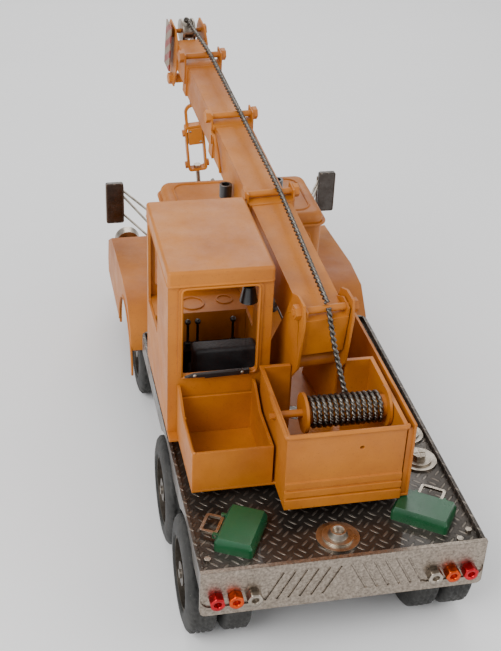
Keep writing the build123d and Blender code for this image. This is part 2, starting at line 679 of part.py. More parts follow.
with BuildPart() as winch_box:
    centre, wide, long = box_sketch(BOX_X, BOX_Y)
    with BuildSketch(Plane.XY.offset(PLATFORM_TOP)):
        with Locations(centre):
            Rectangle(wide, long)
            Rectangle(wide - 2 * SHEET, long - 2 * SHEET, mode=Mode.SUBTRACT)
    extrude(amount=BOX_TOP - PLATFORM_TOP)
    with BuildSketch(Plane.XY.offset(BOX_TOP - 1.6)):
        with Locations(centre):
            Rectangle(wide + 1.6, long + 1.6)
            Rectangle(wide - 2 * SHEET, long - 2 * SHEET, mode=Mode.SUBTRACT)
    extrude(amount=1.6)
    with BuildSketch(facing_back(PIVOT[0], BOX_Y[1] + 4, 100)):
        Rectangle(CHEEK_GAP + 5, 60)
    extrude(amount=8, mode=Mode.SUBTRACT)
    for base_z, height, proud in ((PLATFORM_Z, 6, 1.6), (PLATFORM_Z + 7, 4, 1.2), (PLATFORM_Z + 12, 4, 0.8)):
        with BuildSketch(facing_back((BOX_X[0] + BOX_X[1]) / 2, BOX_Y[0], base_z + height / 2)):
            Rectangle(wide, height)
        extrude(amount=proud)
    with BuildSketch(facing_back(14, BOX_Y[0] + 4, 108)):
        Circle(1.1)
    extrude(amount=8, mode=Mode.SUBTRACT)
    with BuildSketch(across(BOX_X[0] - 4, DRUM_STATION, DRUM_Z)):
        Circle(2.1)
    extrude(amount=wide + 8, mode=Mode.SUBTRACT)
finish(winch_box, "winch_box")

with BuildPart() as side_panel:
    with BuildSketch(across(40, 0, 0)):
        with BuildLine():
            Polyline((BOX_Y[0], PLATFORM_TOP), (160, PLATFORM_TOP), (160, 114), (154, 117),
                     (BOX_Y[0], BOX_TOP), close=True)
        make_face()
    extrude(amount=SHEET)
    with BuildSketch(across(BOX_X[1], 0, 0)):
        with BuildLine():
            Polyline((154, PLATFORM_TOP), (155.5, PLATFORM_TOP), (155.5, 112), (154, 112), close=True)
        make_face()
    extrude(amount=3.6)
    centre, wide, long = box_sketch((BOX_X[1] + 0.9, 40), (BOX_Y[0] + 1, BOX_Y[0] + 2.5))
    with BuildSketch(Plane.XY.offset(PLATFORM_TOP)):
        with Locations(centre):
            Rectangle(wide, long)
    extrude(amount=BOX_TOP - PLATFORM_TOP - 3)
    centre, wide, long = box_sketch((22, 40), (158.5, 160))
    with BuildSketch(Plane.XY.offset(PLATFORM_TOP)):
        with Locations(centre):
            Rectangle(wide, long)
    extrude(amount=38)
finish(side_panel, "side_panel")

# ---------------------------------------------------------------- turret

CHEEK_BASE = PLATFORM_TOP - PIVOT[2]
with BuildPart() as turret_cheeks:
    for side in (-1, 1):
        with BuildSketch(turret_side(side * CHEEK_GAP / 2)) as cheek_outline:
            with BuildLine():
                Polyline((8, CHEEK_BASE), (58, CHEEK_BASE), (46, -50), (20, -12), (12, 4), (4, 7),
                         (-5, 6), (-7, -4), (-2, -34), (8, -46), close=True)
            make_face()
            Circle(PIN_R + 0.05, mode=Mode.SUBTRACT)
        extrude(amount=side * SHEET)
finish(turret_cheeks, "turret_cheeks")

with BuildPart() as luff_pin:
    half = CHEEK_GAP / 2 + SHEET
    with BuildSketch(turret_side(-half - 4)):
        Circle(PIN_R)
    extrude(amount=2 * half + 8)
    for side in (-1, 1):
        with BuildSketch(turret_side(side * half)):
            RegularPolygon(NUT_FLATS / 2, 6, major_radius=False)
        extrude(amount=side * 3.2)
    with BuildSketch(turret_side(-CHEEK_GAP / 2)):
        with Locations((12, -38)):
            Circle(4.2)
    extrude(amount=CHEEK_GAP)
finish(luff_pin, "luff_pin")

# ---------------------------------------------------------------- winch drum

pitch = (DRUM_X[1] - DRUM_X[0] - 4) / ROPE_TURNS
with BuildPart() as winch_drum:
    with BuildSketch(across(BOX_X[0] - 3, DRUM_STATION, DRUM_Z)):
        Circle(2)
    extrude(amount=BOX_X[1] - BOX_X[0] + 6)
    with BuildSketch(across(DRUM_X[0], DRUM_STATION, DRUM_Z)):
        Circle(DRUM_CORE_R)
    extrude(amount=DRUM_X[1] - DRUM_X[0])
    for x in (DRUM_X[0], DRUM_X[1] - 1.6):
        with BuildSketch(across(x, DRUM_STATION, DRUM_Z)):
            Circle(DRUM_FLANGE_R)
        extrude(amount=1.6)
finish(winch_drum, "winch_drum")

with BuildPart() as rope_winding:
    winding_start = DRUM_X[0] + 2
    with BuildSketch(across(winding_start, DRUM_STATION, DRUM_Z)):
        Circle(DRUM_CORE_R + ROPE_D / 2)
        Circle(DRUM_CORE_R, mode=Mode.SUBTRACT)
    extrude(amount=pitch * ROPE_TURNS)
    for turn in range(ROPE_TURNS):
        with BuildSketch(across(winding_start + pitch * (turn + 0.1), DRUM_STATION, DRUM_Z)):
            Circle(DRUM_CORE_R + ROPE_D)
            Circle(DRUM_CORE_R, mode=Mode.SUBTRACT)
        extrude(amount=pitch * 0.8)
finish(rope_winding, "rope_winding")

# ---------------------------------------------------------------- boom

for index in range(4):
    drop = TOP_DROP + SECTION_STEP * index
    width = BOOM_WIDTHS[index]
    height = BOOM_HEIGHT - 2 * SECTION_STEP * index
    start = SECTION_STARTS[index]
    end = SECTION_ENDS[index]
    with BuildPart() as section:
        with BuildSketch(boom_end(start)):
            with Locations((0, -drop - height / 2)):
                Rectangle(width, height)
                Rectangle(width - 2 * BOOM_WALL, height - 2 * BOOM_WALL, mode=Mode.SUBTRACT)
        extrude(amount=start - end)
        if index == 0:
            with BuildSketch(boom_end(start)):
                with Locations((0, -drop - height / 2)):
                    Rectangle(width, height)
            extrude(amount=-1)
            for side in (-1, 1):
                with BuildSketch(boom_side(side * width / 2)):
                    with BuildLine():
                        Polyline((-4.5, -drop), (-4.5, 2.5), (4.5, 2.5), (12, -drop), close=True)
                    make_face()
                    Circle(PIN_R + 0.05, mode=Mode.SUBTRACT)
                extrude(amount=-side * 1.2)
        if index < 3:
            with BuildSketch(boom_end(end - 8)):
                with Locations((0, -drop - height / 2)):
                    Rectangle(width + 2.4, height + 1.2)
                    Rectangle(width - 2 * BOOM_WALL, height - 2 * BOOM_WALL, mode=Mode.SUBTRACT)
            extrude(amount=-8)
            for side in (-1, 1):
                with BuildSketch(boom_side(side * (width / 2 + 1.2))):
                    with BuildLine():
                        Polyline((end - 8, -drop - 12), (end, -drop - 12), (end + 4, 3), (end - 5, 3),
                                 close=True)
                    make_face()
                extrude(amount=side * 1.2)
                nut_height = 1 if index == 0 and side < 0 else 3
                with BuildSketch(boom_side(side * (width / 2 + 2.4))):
                    with Locations((end - 1, 0)):
                        RegularPolygon(NUT_FLATS / 2, 6, major_radius=False)
                extrude(amount=side * nut_height)
            with BuildSketch(boom_side(-width / 2 - 2.4)):
                with Locations((end - 1, 0)):
                    Circle(PIN_R)
            extrude(amount=width + 4.8)
        else:
            for side in (-1, 1):
                with BuildSketch(boom_side(side * width / 2)):
                    with BuildLine():
                        Polyline((HEAD_ALONG - 17, -drop), (HEAD_ALONG - 8, 2), (HEAD_ALONG + 6, 2),
                                 (HEAD_ALONG + 10, -6), (HEAD_ALONG + 5, -22), (HEAD_ALONG - 3, -40),
                                 (HEAD_ALONG - 12, -40), (HEAD_ALONG - 17, -24), close=True)
                    make_face()
                extrude(amount=side * 1.2)
            for along, up, radius in ((HEAD_ALONG, -SHEAVE_DROP, 1.5), (HEAD_ALONG - 7.5, -36, 3.4)):
                with BuildSketch(boom_side(-width / 2 - 1.2)):
                    with Locations((along, up)):
                        Circle(radius)
                extrude(amount=width + 2.4)
                for side in (-1, 1):
                    with BuildSketch(boom_side(side * (width / 2 + 1.2))):
                        with Locations((along, up)):
                            RegularPolygon(NUT_FLATS / 2, 6, major_radius=False)
                    extrude(amount=side * 2.6)
    finish(section, "boom_tip" if index == 3 else f"boom_section_{index + 1}")

with BuildPart() as hazard_plate:
    with BuildSketch(boom_side(-BOOM_WIDTHS[3] / 2 - 3.8)):
        with Locations((HEAD_ALONG - 4.5, -12)):
            Rectangle(13, 33)
    extrude(amount=-1)
finish(hazard_plate, "hazard_plate")

with BuildPart() as head_sheave:
    with BuildSketch(boom_side(-3)):
        with Locations((HEAD_ALONG, -SHEAVE_DROP)):
            Circle(SHEAVE_R)
            Circle(1.6, mode=Mode.SUBTRACT)
    extrude(amount=6)
    for x, amount in ((-4.5, 1.5), (3, 1.5)):
        with BuildSketch(boom_side(x)):
            with Locations((HEAD_ALONG, -SHEAVE_DROP)):
                Circle(SHEAVE_R + 2)
                Circle(1.6, mode=Mode.SUBTRACT)
        extrude(amount=amount)
finish(head_sheave, "head_sheave")

# ---------------------------------------------------------------- rope

sheave_centre = boom_frame.from_local_coords(Vector(0, HEAD_ALONG, -SHEAVE_DROP))
ROPE_R = ROPE_D / 2
ROPE_UP = PIN_R + ROPE_R + 0.1
ROPE_LINE = [(0.5, 0.5, ROPE_UP), (5.0, 98, ROPE_UP), (4.5, 180, ROPE_UP), (4.0, 251, ROPE_UP),
             (0, HEAD_ALONG - 2.5, SHEAVE_R + ROPE_R - SHEAVE_DROP + 0.2)]


def run_radii(points, share=0.45):
    """Largest tangent arc at each inner corner of a route."""
    radii = []
    for before, corner, after in zip(points, points[1:], points[2:]):
        turn = radians((corner - before).get_angle(after - corner))
        shorter = min((corner - before).length, (after - corner).length)
        radii.append(share * shorter / tan(turn / 2))
    return radii


boom_rope_points = [boom_frame.from_local_coords(Vector(*point)) for point in ROPE_LINE]
drum_rope_points = [
    Vector(11.5, y_at(DRUM_STATION + 1), DRUM_Z + DRUM_CORE_R + 2 * ROPE_D - 1.2),
    Vector(9.0, y_at(78), 139),
    boom_frame.from_local_coords(Vector(0.4, -4.0, ROPE_UP - 1)),
]
for name, points in (("rope_boom_run", boom_rope_points), ("rope_drum_run", drum_rope_points)):
    radii = run_radii(points)
    with BuildPart() as rope:
        with BuildLine() as route:
            FilletPolyline(*points, radius=radii)
        with BuildSketch(Plane(points[0], z_dir=points[1] - points[0])):
            Circle(ROPE_R)
        sweep(path=route.line)
    finish(rope, name)

FALL_OUT = SHEAVE_R + ROPE_R + 0.1
hook_frame = Plane(
    origin=sheave_centre + Vector(0, FALL_OUT, 0),
    x_dir=(cos(radians(HOOK_LEAN)), 0, sin(radians(HOOK_LEAN))),
    z_dir=(-sin(radians(HOOK_LEAN)), 0, cos(radians(HOOK_LEAN))),
)
with BuildPart() as rope_hook_fall:
    with BuildLine() as fall_route:
        FilletPolyline(
            sheave_centre + Vector(0, -0.3, FALL_OUT),
            sheave_centre + Vector(0, FALL_OUT, FALL_OUT),
            sheave_centre + Vector(0, FALL_OUT, -1),
            hook_frame.from_local_coords(Vector(0, 0, 3.8 - BLOCK_TOP)),
            radius=[FALL_OUT - 0.1, 8],
        )
    with BuildSketch(Plane(fall_route.line @ 0, z_dir=(0, 1, 0))):
        Circle(ROPE_R)
    sweep(path=fall_route.line)
finish(rope_hook_fall, "rope_hook_fall")

# ---------------------------------------------------------------- hook block and hook


def hook_face(down, depth=0.0):
    """Upright plane across the hook block, the given distance below the head sheave."""
    return Plane(hook_frame.from_local_coords(Vector(0, -depth, -down)), x_dir=hook_frame.x_dir,
                 z_dir=-hook_frame.y_dir)


def hook_side(x, down):
    """Plane whose normal points to the hook block's right."""
    return Plane(hook_frame.from_local_coords(Vector(x, 0, -down)), x_dir=hook_frame.y_dir,
                 z_dir=hook_frame.x_dir)


FRAME_DOWN = BLOCK_TOP + 12
frame_height = BLOCK_BOTTOM - FRAME_DOWN
with BuildPart() as hook_block:
    with BuildSketch(hook_face(FRAME_DOWN + frame_height / 2, -3.5)):
        RectangleRounded(14, frame_height, 2.5)
        RectangleRounded(11, frame_height - 3.5, 1.5, mode=Mode.SUBTRACT)
    extrude(amount=7)
    for down in (FRAME_DOWN + 6, BLOCK_BOTTOM - 4.5):
        for side in (-1, 1):
            with BuildSketch(hook_side(side * 7, down)):
                RegularPolygon(2.6, 6)
            extrude(amount=side * 1.8)
    with BuildSketch(hook_frame.offset(-BLOCK_BOTTOM - 1)):
        Circle(1.6)
    extrude(amount=5, mode=Mode.SUBTRACT)
    with BuildSketch(hook_side(-8, FRAME_DOWN + 10)):
        Circle(1.3)
    extrude(amount=16, mode=Mode.SUBTRACT)
    with BuildSketch(hook_face(FRAME_DOWN - 5, -1.2)):
        SlotOverall(21, 12, rotation=90)
        SlotOverall(17, 8, rotation=90, mode=Mode.SUBTRACT)
    extrude(amount=2.4)
finish(hook_block, "hook_block")

with BuildPart() as block_roller:
    with BuildSketch(hook_side(-5.2, FRAME_DOWN + 10)):
        Circle(4.4)
    extrude(amount=10.4)
    with BuildSketch(hook_side(-7, FRAME_DOWN + 10)):
        Circle(1.2)
    extrude(amount=14)
finish(block_roller, "block_roller")

HOOK_BEND_R = 5.5
HOOK_DOWN = BLOCK_BOTTOM + 13.5
with BuildPart() as hook:
    with BuildLine(hook_face(HOOK_DOWN)) as hook_path:
        Line((0, 17), (0, 0))
        CenterArc((HOOK_BEND_R, 0), HOOK_BEND_R, 180, 215)
    with BuildSketch(Plane(hook_path.line @ 0, z_dir=hook_path.line % 0)):
        Circle(1.5)
    sweep(path=hook_path.line)
    with BuildSketch(hook_frame.offset(-BLOCK_BOTTOM + 1.9)):
        Circle(2.6)
    extrude(amount=2)
finish(hook, "hook")
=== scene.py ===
import json
import math
import random

import bmesh
import bpy
from mathutils import Matrix, Vector


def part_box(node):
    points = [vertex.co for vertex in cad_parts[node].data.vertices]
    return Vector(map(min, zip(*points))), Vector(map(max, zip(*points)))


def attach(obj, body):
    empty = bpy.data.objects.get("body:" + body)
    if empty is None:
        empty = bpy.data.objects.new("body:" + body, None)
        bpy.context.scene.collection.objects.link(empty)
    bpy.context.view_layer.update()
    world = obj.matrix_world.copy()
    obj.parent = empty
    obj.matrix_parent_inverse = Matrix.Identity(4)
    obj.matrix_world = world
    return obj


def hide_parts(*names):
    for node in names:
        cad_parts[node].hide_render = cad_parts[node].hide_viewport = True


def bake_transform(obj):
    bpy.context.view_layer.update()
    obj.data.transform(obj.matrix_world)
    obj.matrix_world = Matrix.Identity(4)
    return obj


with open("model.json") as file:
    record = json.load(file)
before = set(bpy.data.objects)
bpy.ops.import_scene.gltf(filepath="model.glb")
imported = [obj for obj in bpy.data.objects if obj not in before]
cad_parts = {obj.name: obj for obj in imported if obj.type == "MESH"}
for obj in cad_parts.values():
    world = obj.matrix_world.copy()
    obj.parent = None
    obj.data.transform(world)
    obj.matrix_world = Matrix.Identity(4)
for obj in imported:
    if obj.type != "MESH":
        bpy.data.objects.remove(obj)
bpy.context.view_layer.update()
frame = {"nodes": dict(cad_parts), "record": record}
NODES = frame["nodes"]

# Driving sizes, in metres and radians. Other places are measured from them or from the frame.
YAW, LUFF, HOOK_LEAN = (math.radians(t) for t in (5.2, 11.0, 5.6))
WHEEL_R, TYRE_HALF_WIDTH, TREAD_DEPTH = 0.031, 0.008, 0.0010
CROWN_DROP, TYRE_SEGMENTS, TREAD_ROWS = 0.0004, 144, 12
NUT_FLATS, NUT_HEIGHT, NUT_BORE = 0.007, 0.0053, 0.0018
NUT_LEVEL, STUD_R = 0.0522, 0.0016
SHEAVE_ALONG, SHEAVE_DROP, ROPE_PATH_R = 292, 4, 0.0074
FALL_LENGTH = 0.0562
DRUM_TURNS, DRUM_STEPS, WINDING_R = 13, 40, 0.0073
WINDING_X = (-0.0085, 0.0325)
ARCH_R = 0.0355
EDGE_WIDTH = 0.0003
FLOOR_HALF, FLOOR_CELLS = 2.5, 60
LENS_MM, SENSOR_MM = 86.2275, 36
CAMERA_PLACE = (-0.1506, -0.606, 0.4716)
CAMERA_TURN, CAMERA_DOWN, CAMERA_ROLL = (math.radians(t) for t in (13.2, 32.0, -2.7))


def station(d):
    """Y in metres of a station in millimetres from the deck's back edge."""
    return (d + 4.5 - 198.5) / 1000


# ---------------------------------------------------------------- materials


class Graph:
    """Adds and links shader nodes of one material."""

    def __init__(self, name):
        self.material = bpy.data.materials.new(name)
        self.material.use_nodes = True
        self.tree = self.material.node_tree
        self.shader = self.tree.nodes["Principled BSDF"]
        self.coord = self.add("ShaderNodeTexCoord").outputs["Object"]

    def add(self, kind, **values):
        node = self.tree.nodes.new(kind)
        for key, value in values.items():
            setattr(node, key, value)
        return node

    def link(self, source, target):
        self.tree.links.new(source, target)

    def noise(self, scale, detail=6.0, rough=0.6, stretch=(1, 1, 1)):
        mapping = self.add("ShaderNodeMapping")
        mapping.inputs["Scale"].default_value = stretch
        self.link(self.coord, mapping.inputs["Vector"])
        node = self.add("ShaderNodeTexNoise")
        node.inputs["Scale"].default_value = scale
        node.inputs["Detail"].default_value = detail
        node.inputs["Roughness"].default_value = rough
        self.link(mapping.outputs["Vector"], node.inputs["Vector"])
        return node.outputs["Fac"]

    def ramp(self, source, stops):
        node = self.add("ShaderNodeValToRGB")
        node.color_ramp.elements[0].position = stops[0][0]
        node.color_ramp.elements[0].color = (*stops[0][1], 1)
        node.color_ramp.elements[1].position = stops[-1][0]
        node.color_ramp.elements[1].color = (*stops[-1][1], 1)
        for place, colour in stops[1:-1]:
            node.color_ramp.elements.new(place).color = (*colour, 1)
        self.link(source, node.inputs["Fac"])
        return node.outputs["Color"]

    def mix(self, fac, first, second):
        node = self.add("ShaderNodeMix", data_type="RGBA")
        self.link(fac, node.inputs[0])
        for index, value in ((6, first), (7, second)):
            if isinstance(value, tuple):
                node.inputs[index].default_value = (*value, 1)
            else:
                self.link(value, node.inputs[index])
        return node.outputs[2]

    def math(self, operation, first, second=None):
        node = self.add("ShaderNodeMath", operation=operation)
        for index, value in enumerate((first, second)):
            if value is None:
                continue
            if isinstance(value, (int, float)):
                node.inputs[index].default_value = value
            else:
                self.link(value, node.inputs[index])
        return node.outputs[0]

    def bump(self, height, distance, strength=1.0, under=None):
        node = self.add("ShaderNodeBump")
        node.inputs["Strength"].default_value = strength
        node.inputs["Distance"].default_value = distance
        self.link(height, node.inputs["Height"])
        if under is not None:
            self.link(under, node.inputs["Normal"])
        return node.outputs["Normal"]

    def edge_wear(self, width):
        """1 near convex edges, 0 elsewhere."""
        bevel = self.add("ShaderNodeBevel", samples=6)
        bevel.inputs["Radius"].default_value = width
        geometry = self.add("ShaderNodeNewGeometry")
        dot = self.add("ShaderNodeVectorMath", operation="DOT_PRODUCT")
        self.link(bevel.outputs["Normal"], dot.inputs[0])
        self.link(geometry.outputs["Normal"], dot.inputs[1])
        return self.math("SUBTRACT", 1.0, dot.outputs["Value"])


def set_values(shader, **values):
    for key, value in values.items():
        shader.inputs[key.replace("_", " ")].default_value = value


def srgb(r, g, b):
    def one(v):
        v = v / 255
        return v / 12.92 if v <= 0.04045 else ((v + 0.055) / 1.055) ** 2.4
    return one(r), one(g), one(b)


def paint(name, base, dark, worn, rough=0.34, speck=0.25, coat=0.3, metallic=0.0):
    """Enamel with soft mottling, fine scratches, dust in patches and bare edges."""
    g = Graph(name)
    cloud = g.noise(22, 7, 0.62)
    body = g.ramp(cloud, [(0.3, dark), (0.62, base)])
    specks = g.ramp(g.noise(900, 3, 0.7), [(0.60, (0, 0, 0)), (0.68, (1, 1, 1))])
    specks_soft = g.math("MULTIPLY", specks, speck)
    body = g.mix(specks_soft, body, worn)
    wear_noise = g.noise(140, 5, 0.75)
    edges = g.math("MULTIPLY", g.edge_wear(0.0007), g.math("MULTIPLY", wear_noise, 3.2))
    edges = g.ramp(edges, [(0.22, (0, 0, 0)), (0.5, (1, 1, 1))])
    g.link(g.mix(edges, body, worn), g.shader.inputs["Base Color"])
    gloss = g.ramp(g.noise(60, 8, 0.7), [(0.3, (rough - 0.1,) * 3), (0.7, (rough + 0.16,) * 3)])
    g.link(gloss, g.shader.inputs["Roughness"])
    scratches = g.noise(70, 4, 0.8, (1, 14, 14))
    grain = g.bump(g.noise(260, 4, 0.6), 0.00022, 0.35)
    g.link(g.bump(scratches, 0.00012, 0.25, grain), g.shader.inputs["Normal"])
    set_values(g.shader, Metallic=metallic, Coat_Weight=coat, Coat_Roughness=0.2)
    return g.material


def metal(name, base, dark, rough=0.32, stretch=(1, 1, 1), scale=120, bump=0.0001, worn=None):
    g = Graph(name)
    body = g.ramp(g.noise(scale, 8, 0.7, stretch), [(0.28, dark), (0.68, base)])
    wear = g.ramp(g.math("MULTIPLY", g.edge_wear(0.0004), 3.0), [(0.1, (0, 0, 0)), (0.6, (1, 1, 1))])
    worn = worn or tuple(min(1, c * 1.5) for c in base)
    g.link(g.mix(wear, body, worn), g.shader.inputs["Base Color"])
    gloss = g.ramp(g.noise(scale * 0.6, 8, 0.7), [(0.3, (rough - 0.1,) * 3), (0.7, (rough + 0.15,) * 3)])
    g.link(gloss, g.shader.inputs["Roughness"])
    g.link(g.bump(g.noise(scale * 3, 5, 0.7, stretch), bump, 0.4), g.shader.inputs["Normal"])
    set_values(g.shader, Metallic=1.0)
    return g.material


def checker_plate(name):
    """Dark lacquered sheet pressed with a lattice of small raised bars, whose tops are lightened as a painted
    highlight.
    """
    g = Graph(name)
    split = g.add("ShaderNodeSeparateXYZ")
    g.link(g.coord, split.inputs[0])
    along = g.math("MULTIPLY", g.math("ADD", split.outputs[0], split.outputs[1]), 300)
    over = g.math("MULTIPLY", g.math("SUBTRACT", split.outputs[0], split.outputs[1]), 300)
    wide_a = g.math("GREATER_THAN", g.math("SINE", along), 0.0)
    wide_b = g.math("GREATER_THAN", g.math("SINE", over), 0.0)
    chosen = g.math("ABSOLUTE", g.math("SUBTRACT", wide_a, wide_b))
    fine_a = g.math("ABSOLUTE", g.math("SINE", g.math("MULTIPLY", along, 2)))
    fine_b = g.math("ABSOLUTE", g.math("SINE", g.math("MULTIPLY", over, 2)))
    long_a = g.math("MULTIPLY", g.math("POWER", fine_a, 6), g.math("ABSOLUTE", g.math("SINE", over)))
    long_b = g.math("MULTIPLY", g.math("POWER", fine_b, 6), g.math("ABSOLUTE", g.math("SINE", along)))
    first_bars = g.math("MULTIPLY", long_a, chosen)
    other_bars = g.math("MULTIPLY", long_b, g.math("SUBTRACT", 1.0, chosen))
    raised = g.ramp(g.math("ADD", first_bars, other_bars), [(0.3, (0, 0, 0)), (0.62, (1, 1, 1))])
    cloud = g.noise(34, 8, 0.7)
    body = g.ramp(cloud, [(0.25, srgb(40, 37, 34)), (0.5, srgb(72, 66, 60)), (0.75, srgb(104, 96, 88))])
    # Painted highlight: the raised bars are mixed towards pale grey, standing in for light catching their
    # tops.
    bars_with_painted_highlight = g.mix(g.math("MULTIPLY", raised, 0.45), body, srgb(150, 140, 128))
    g.link(bars_with_painted_highlight, g.shader.inputs["Base Color"])
    gloss = g.ramp(g.noise(90, 6, 0.7), [(0.3, (0.24, 0.24, 0.24)), (0.7, (0.46, 0.46, 0.46))])
    g.link(gloss, g.shader.inputs["Roughness"])
    first = g.bump(raised, 0.0005, 0.7)
    g.link(g.bump(g.noise(420, 4, 0.7), 0.0002, 0.4, first), g.shader.inputs["Normal"])
    set_values(g.shader, Metallic=0.75, Coat_Weight=0.2)
    return g.material


def rubber(name):
    g = Graph(name)
    body = g.ramp(g.noise(60, 7, 0.7), [(0.3, srgb(26, 26, 25)), (0.7, srgb(58, 57, 54))])
    dust = g.ramp(g.noise(900, 2, 0.6), [(0.64, (0, 0, 0)), (0.72, (1, 1, 1))])
    g.link(g.mix(g.math("MULTIPLY", dust, 0.3), body, srgb(112, 106, 98)), g.shader.inputs["Base Color"])
    g.link(g.ramp(g.noise(80), [(0.3, (0.6,) * 3), (0.7, (0.85,) * 3)]), g.shader.inputs["Roughness"])
    g.link(g.bump(g.noise(500, 5, 0.7), 0.0002, 0.5), g.shader.inputs["Normal"])
    return g.material


def leather(name):
    g = Graph(name)
    cells = g.add("ShaderNodeTexVoronoi")
    cells.inputs["Scale"].default_value = 900
    g.link(g.coord, cells.inputs["Vector"])
    body = g.ramp(g.noise(60, 6, 0.7), [(0.3, srgb(18, 18, 20)), (0.7, srgb(44, 43, 44))])
    g.link(body, g.shader.inputs["Base Color"])
    g.link(g.ramp(g.noise(120), [(0.3, (0.42,) * 3), (0.7, (0.62,) * 3)]), g.shader.inputs["Roughness"])
    g.link(g.bump(cells.outputs["Distance"], 0.0003, 0.5), g.shader.inputs["Normal"])
    return g.material


def striped(name):
    """Red and white slanting bands, worn."""
    g = Graph(name)
    split = g.add("ShaderNodeSeparateXYZ")
    g.link(g.coord, split.inputs[0])
    rise = g.math("MULTIPLY", split.outputs[2], 420)
    slant = g.math("ADD", rise, g.math("MULTIPLY", split.outputs[1], 250))
    bands = g.ramp(g.math("FRACT", g.math("MULTIPLY", slant, 0.25)),
                   [(0.48, srgb(150, 40, 34)), (0.52, srgb(150, 132, 112))])
    grime = g.ramp(g.noise(300, 6, 0.7), [(0.35, (0, 0, 0)), (0.6, (1, 1, 1))])
    g.link(g.mix(g.math("MULTIPLY", grime, 0.5), bands, srgb(96, 82, 70)), g.shader.inputs["Base Color"])
    g.link(g.ramp(g.noise(80), [(0.3, (0.35,) * 3), (0.7, (0.6,) * 3)]), g.shader.inputs["Roughness"])
    return g.material


def glass(name, tint):
    g = Graph(name)
    smudge = g.ramp(g.noise(90, 6, 0.7), [(0.3, (0.03,) * 3), (0.8, (0.2,) * 3)])
    g.link(smudge, g.shader.inputs["Roughness"])
    g.link(g.ramp(g.noise(40), [(0.2, tint), (0.8, tuple(c * 0.9 for c in tint))]),
           g.shader.inputs["Base Color"])
    set_values(g.shader, Transmission_Weight=0.6, IOR=1.45)
    return g.material


MATERIALS = {
    "orange_paint": paint("orange_enamel", srgb(188, 112, 22), srgb(160, 88, 12), srgb(112, 62, 20),
                          0.5, 0.35, 0.04),
    "deck_bronze": checker_plate("deck_checker_plate"),
    "bumper_steel": metal("stamped_bumper", srgb(176, 164, 150), srgb(98, 88, 78), 0.36,
                          (1, 1, 1), 700, 0.0002, srgb(46, 38, 32)),
    "frame_black": paint("frame_black", srgb(40, 37, 34), srgb(20, 19, 18), srgb(98, 88, 76), 0.42, 0.1, 0.1),
    "tyre": rubber("tyre_rubber"),
    "rim_metal": metal("rim_steel", srgb(120, 112, 102), srgb(60, 54, 48), 0.4),
    "black_paint": paint("black_enamel", srgb(26, 25, 25), srgb(12, 12, 12), srgb(94, 86, 78), 0.3, 0.1, 0.4),
    "seat_leather": leather("seat_leather"),
    "green_paint": paint("green_enamel", srgb(16, 84, 46), srgb(10, 62, 34), srgb(70, 110, 80), 0.3, 0.15),
    "nut_red": metal("nut_red", srgb(214, 48, 56), srgb(140, 22, 30), 0.3),
    "nut_orange": metal("nut_orange", srgb(236, 96, 40), srgb(170, 52, 18), 0.3),
    "zinc_hardware": metal("zinc_plate", srgb(196, 186, 172), srgb(118, 108, 96), 0.3),
    "mirror_glass": metal("mirror_silver", srgb(92, 86, 82), srgb(60, 54, 50), 0.25, bump=0.00002),
    "rope_steel": metal("rope_wire", srgb(136, 130, 122), srgb(48, 44, 40), 0.34, (1, 1, 1), 500),
    "hazard_paint": striped("hazard_stripes"),
    "lamp_lens": glass("lamp_lens", srgb(226, 224, 214)),
}
SLOT_OF = {row["node"]: row["material_slot"] for row in frame["record"]["subparts"]}
for node, obj in NODES.items():
    material = MATERIALS[SLOT_OF[node]]
    obj.data.materials.clear()
    obj.data.materials.append(material)
    weld = obj.modifiers.new("joined_corners", "WELD")
    weld.merge_threshold = 0.00002  # corners of neighbouring faces that should be one
    bevel = obj.modifiers.new("soft_edges", "BEVEL")
    bevel.width = EDGE_WIDTH
    bevel.segments = 3
    bevel.limit_method = "ANGLE"
    bevel.angle_limit = math.radians(40)
    obj.data.polygons.foreach_set("use_smooth", [True] * len(obj.data.polygons))
    normals = obj.modifiers.new("face_normals", "WEIGHTED_NORMAL")
    normals.keep_sharp = True

# ---------------------------------------------------------------- mesh helpers


def mesh_object(name, bm, slot_name, body):
    """A smooth mesh with a slot's material, riding on a body unless body is None."""
    mesh = bpy.data.meshes.new(name)
    bm.normal_update()
    bm.to_mesh(mesh)
    bm.free()
    obj = bpy.data.objects.new(name, mesh)
    bpy.context.scene.collection.objects.link(obj)
    mesh.materials.append(MATERIALS[slot_name])
    mesh.polygons.foreach_set("use_smooth", [True] * len(mesh.polygons))
    if body:
        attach(obj, body)
    return obj


def soften(obj, width=EDGE_WIDTH, segments=2, angle=35):
    bevel = obj.modifiers.new("edges", "BEVEL")
    bevel.width = width
    bevel.segments = segments
    bevel.limit_method = "ANGLE"
    bevel.angle_limit = math.radians(angle)
    obj.modifiers.new("normals", "WEIGHTED_NORMAL")
    return obj


def tube_along(bm, points, radius, sides=10, up=Vector((0, 0, 1))):
    """Round tube through the points with closed ends."""
    rings = []
    for i, p in enumerate(points):
        ahead = points[min(i + 1, len(points) - 1)] - points[max(i - 1, 0)]
        ahead.normalize()
        side = ahead.cross(up)
        if side.length < 0.05:
            side = ahead.cross(Vector((1, 0, 0)))
        side.normalize()
        top = side.cross(ahead)
        rings.append([bm.verts.new(p + radius * (math.cos(2 * math.pi * k / sides) * side
                                                 + math.sin(2 * math.pi * k / sides) * top))
                      for k in range(sides)])
    for a, b in zip(rings, rings[1:]):
        for k in range(sides):
            bm.faces.new((a[k], a[(k + 1) % sides], b[(k + 1) % sides], b[k]))
    bm.faces.new(list(reversed(rings[0])))
    bm.faces.new(rings[-1])


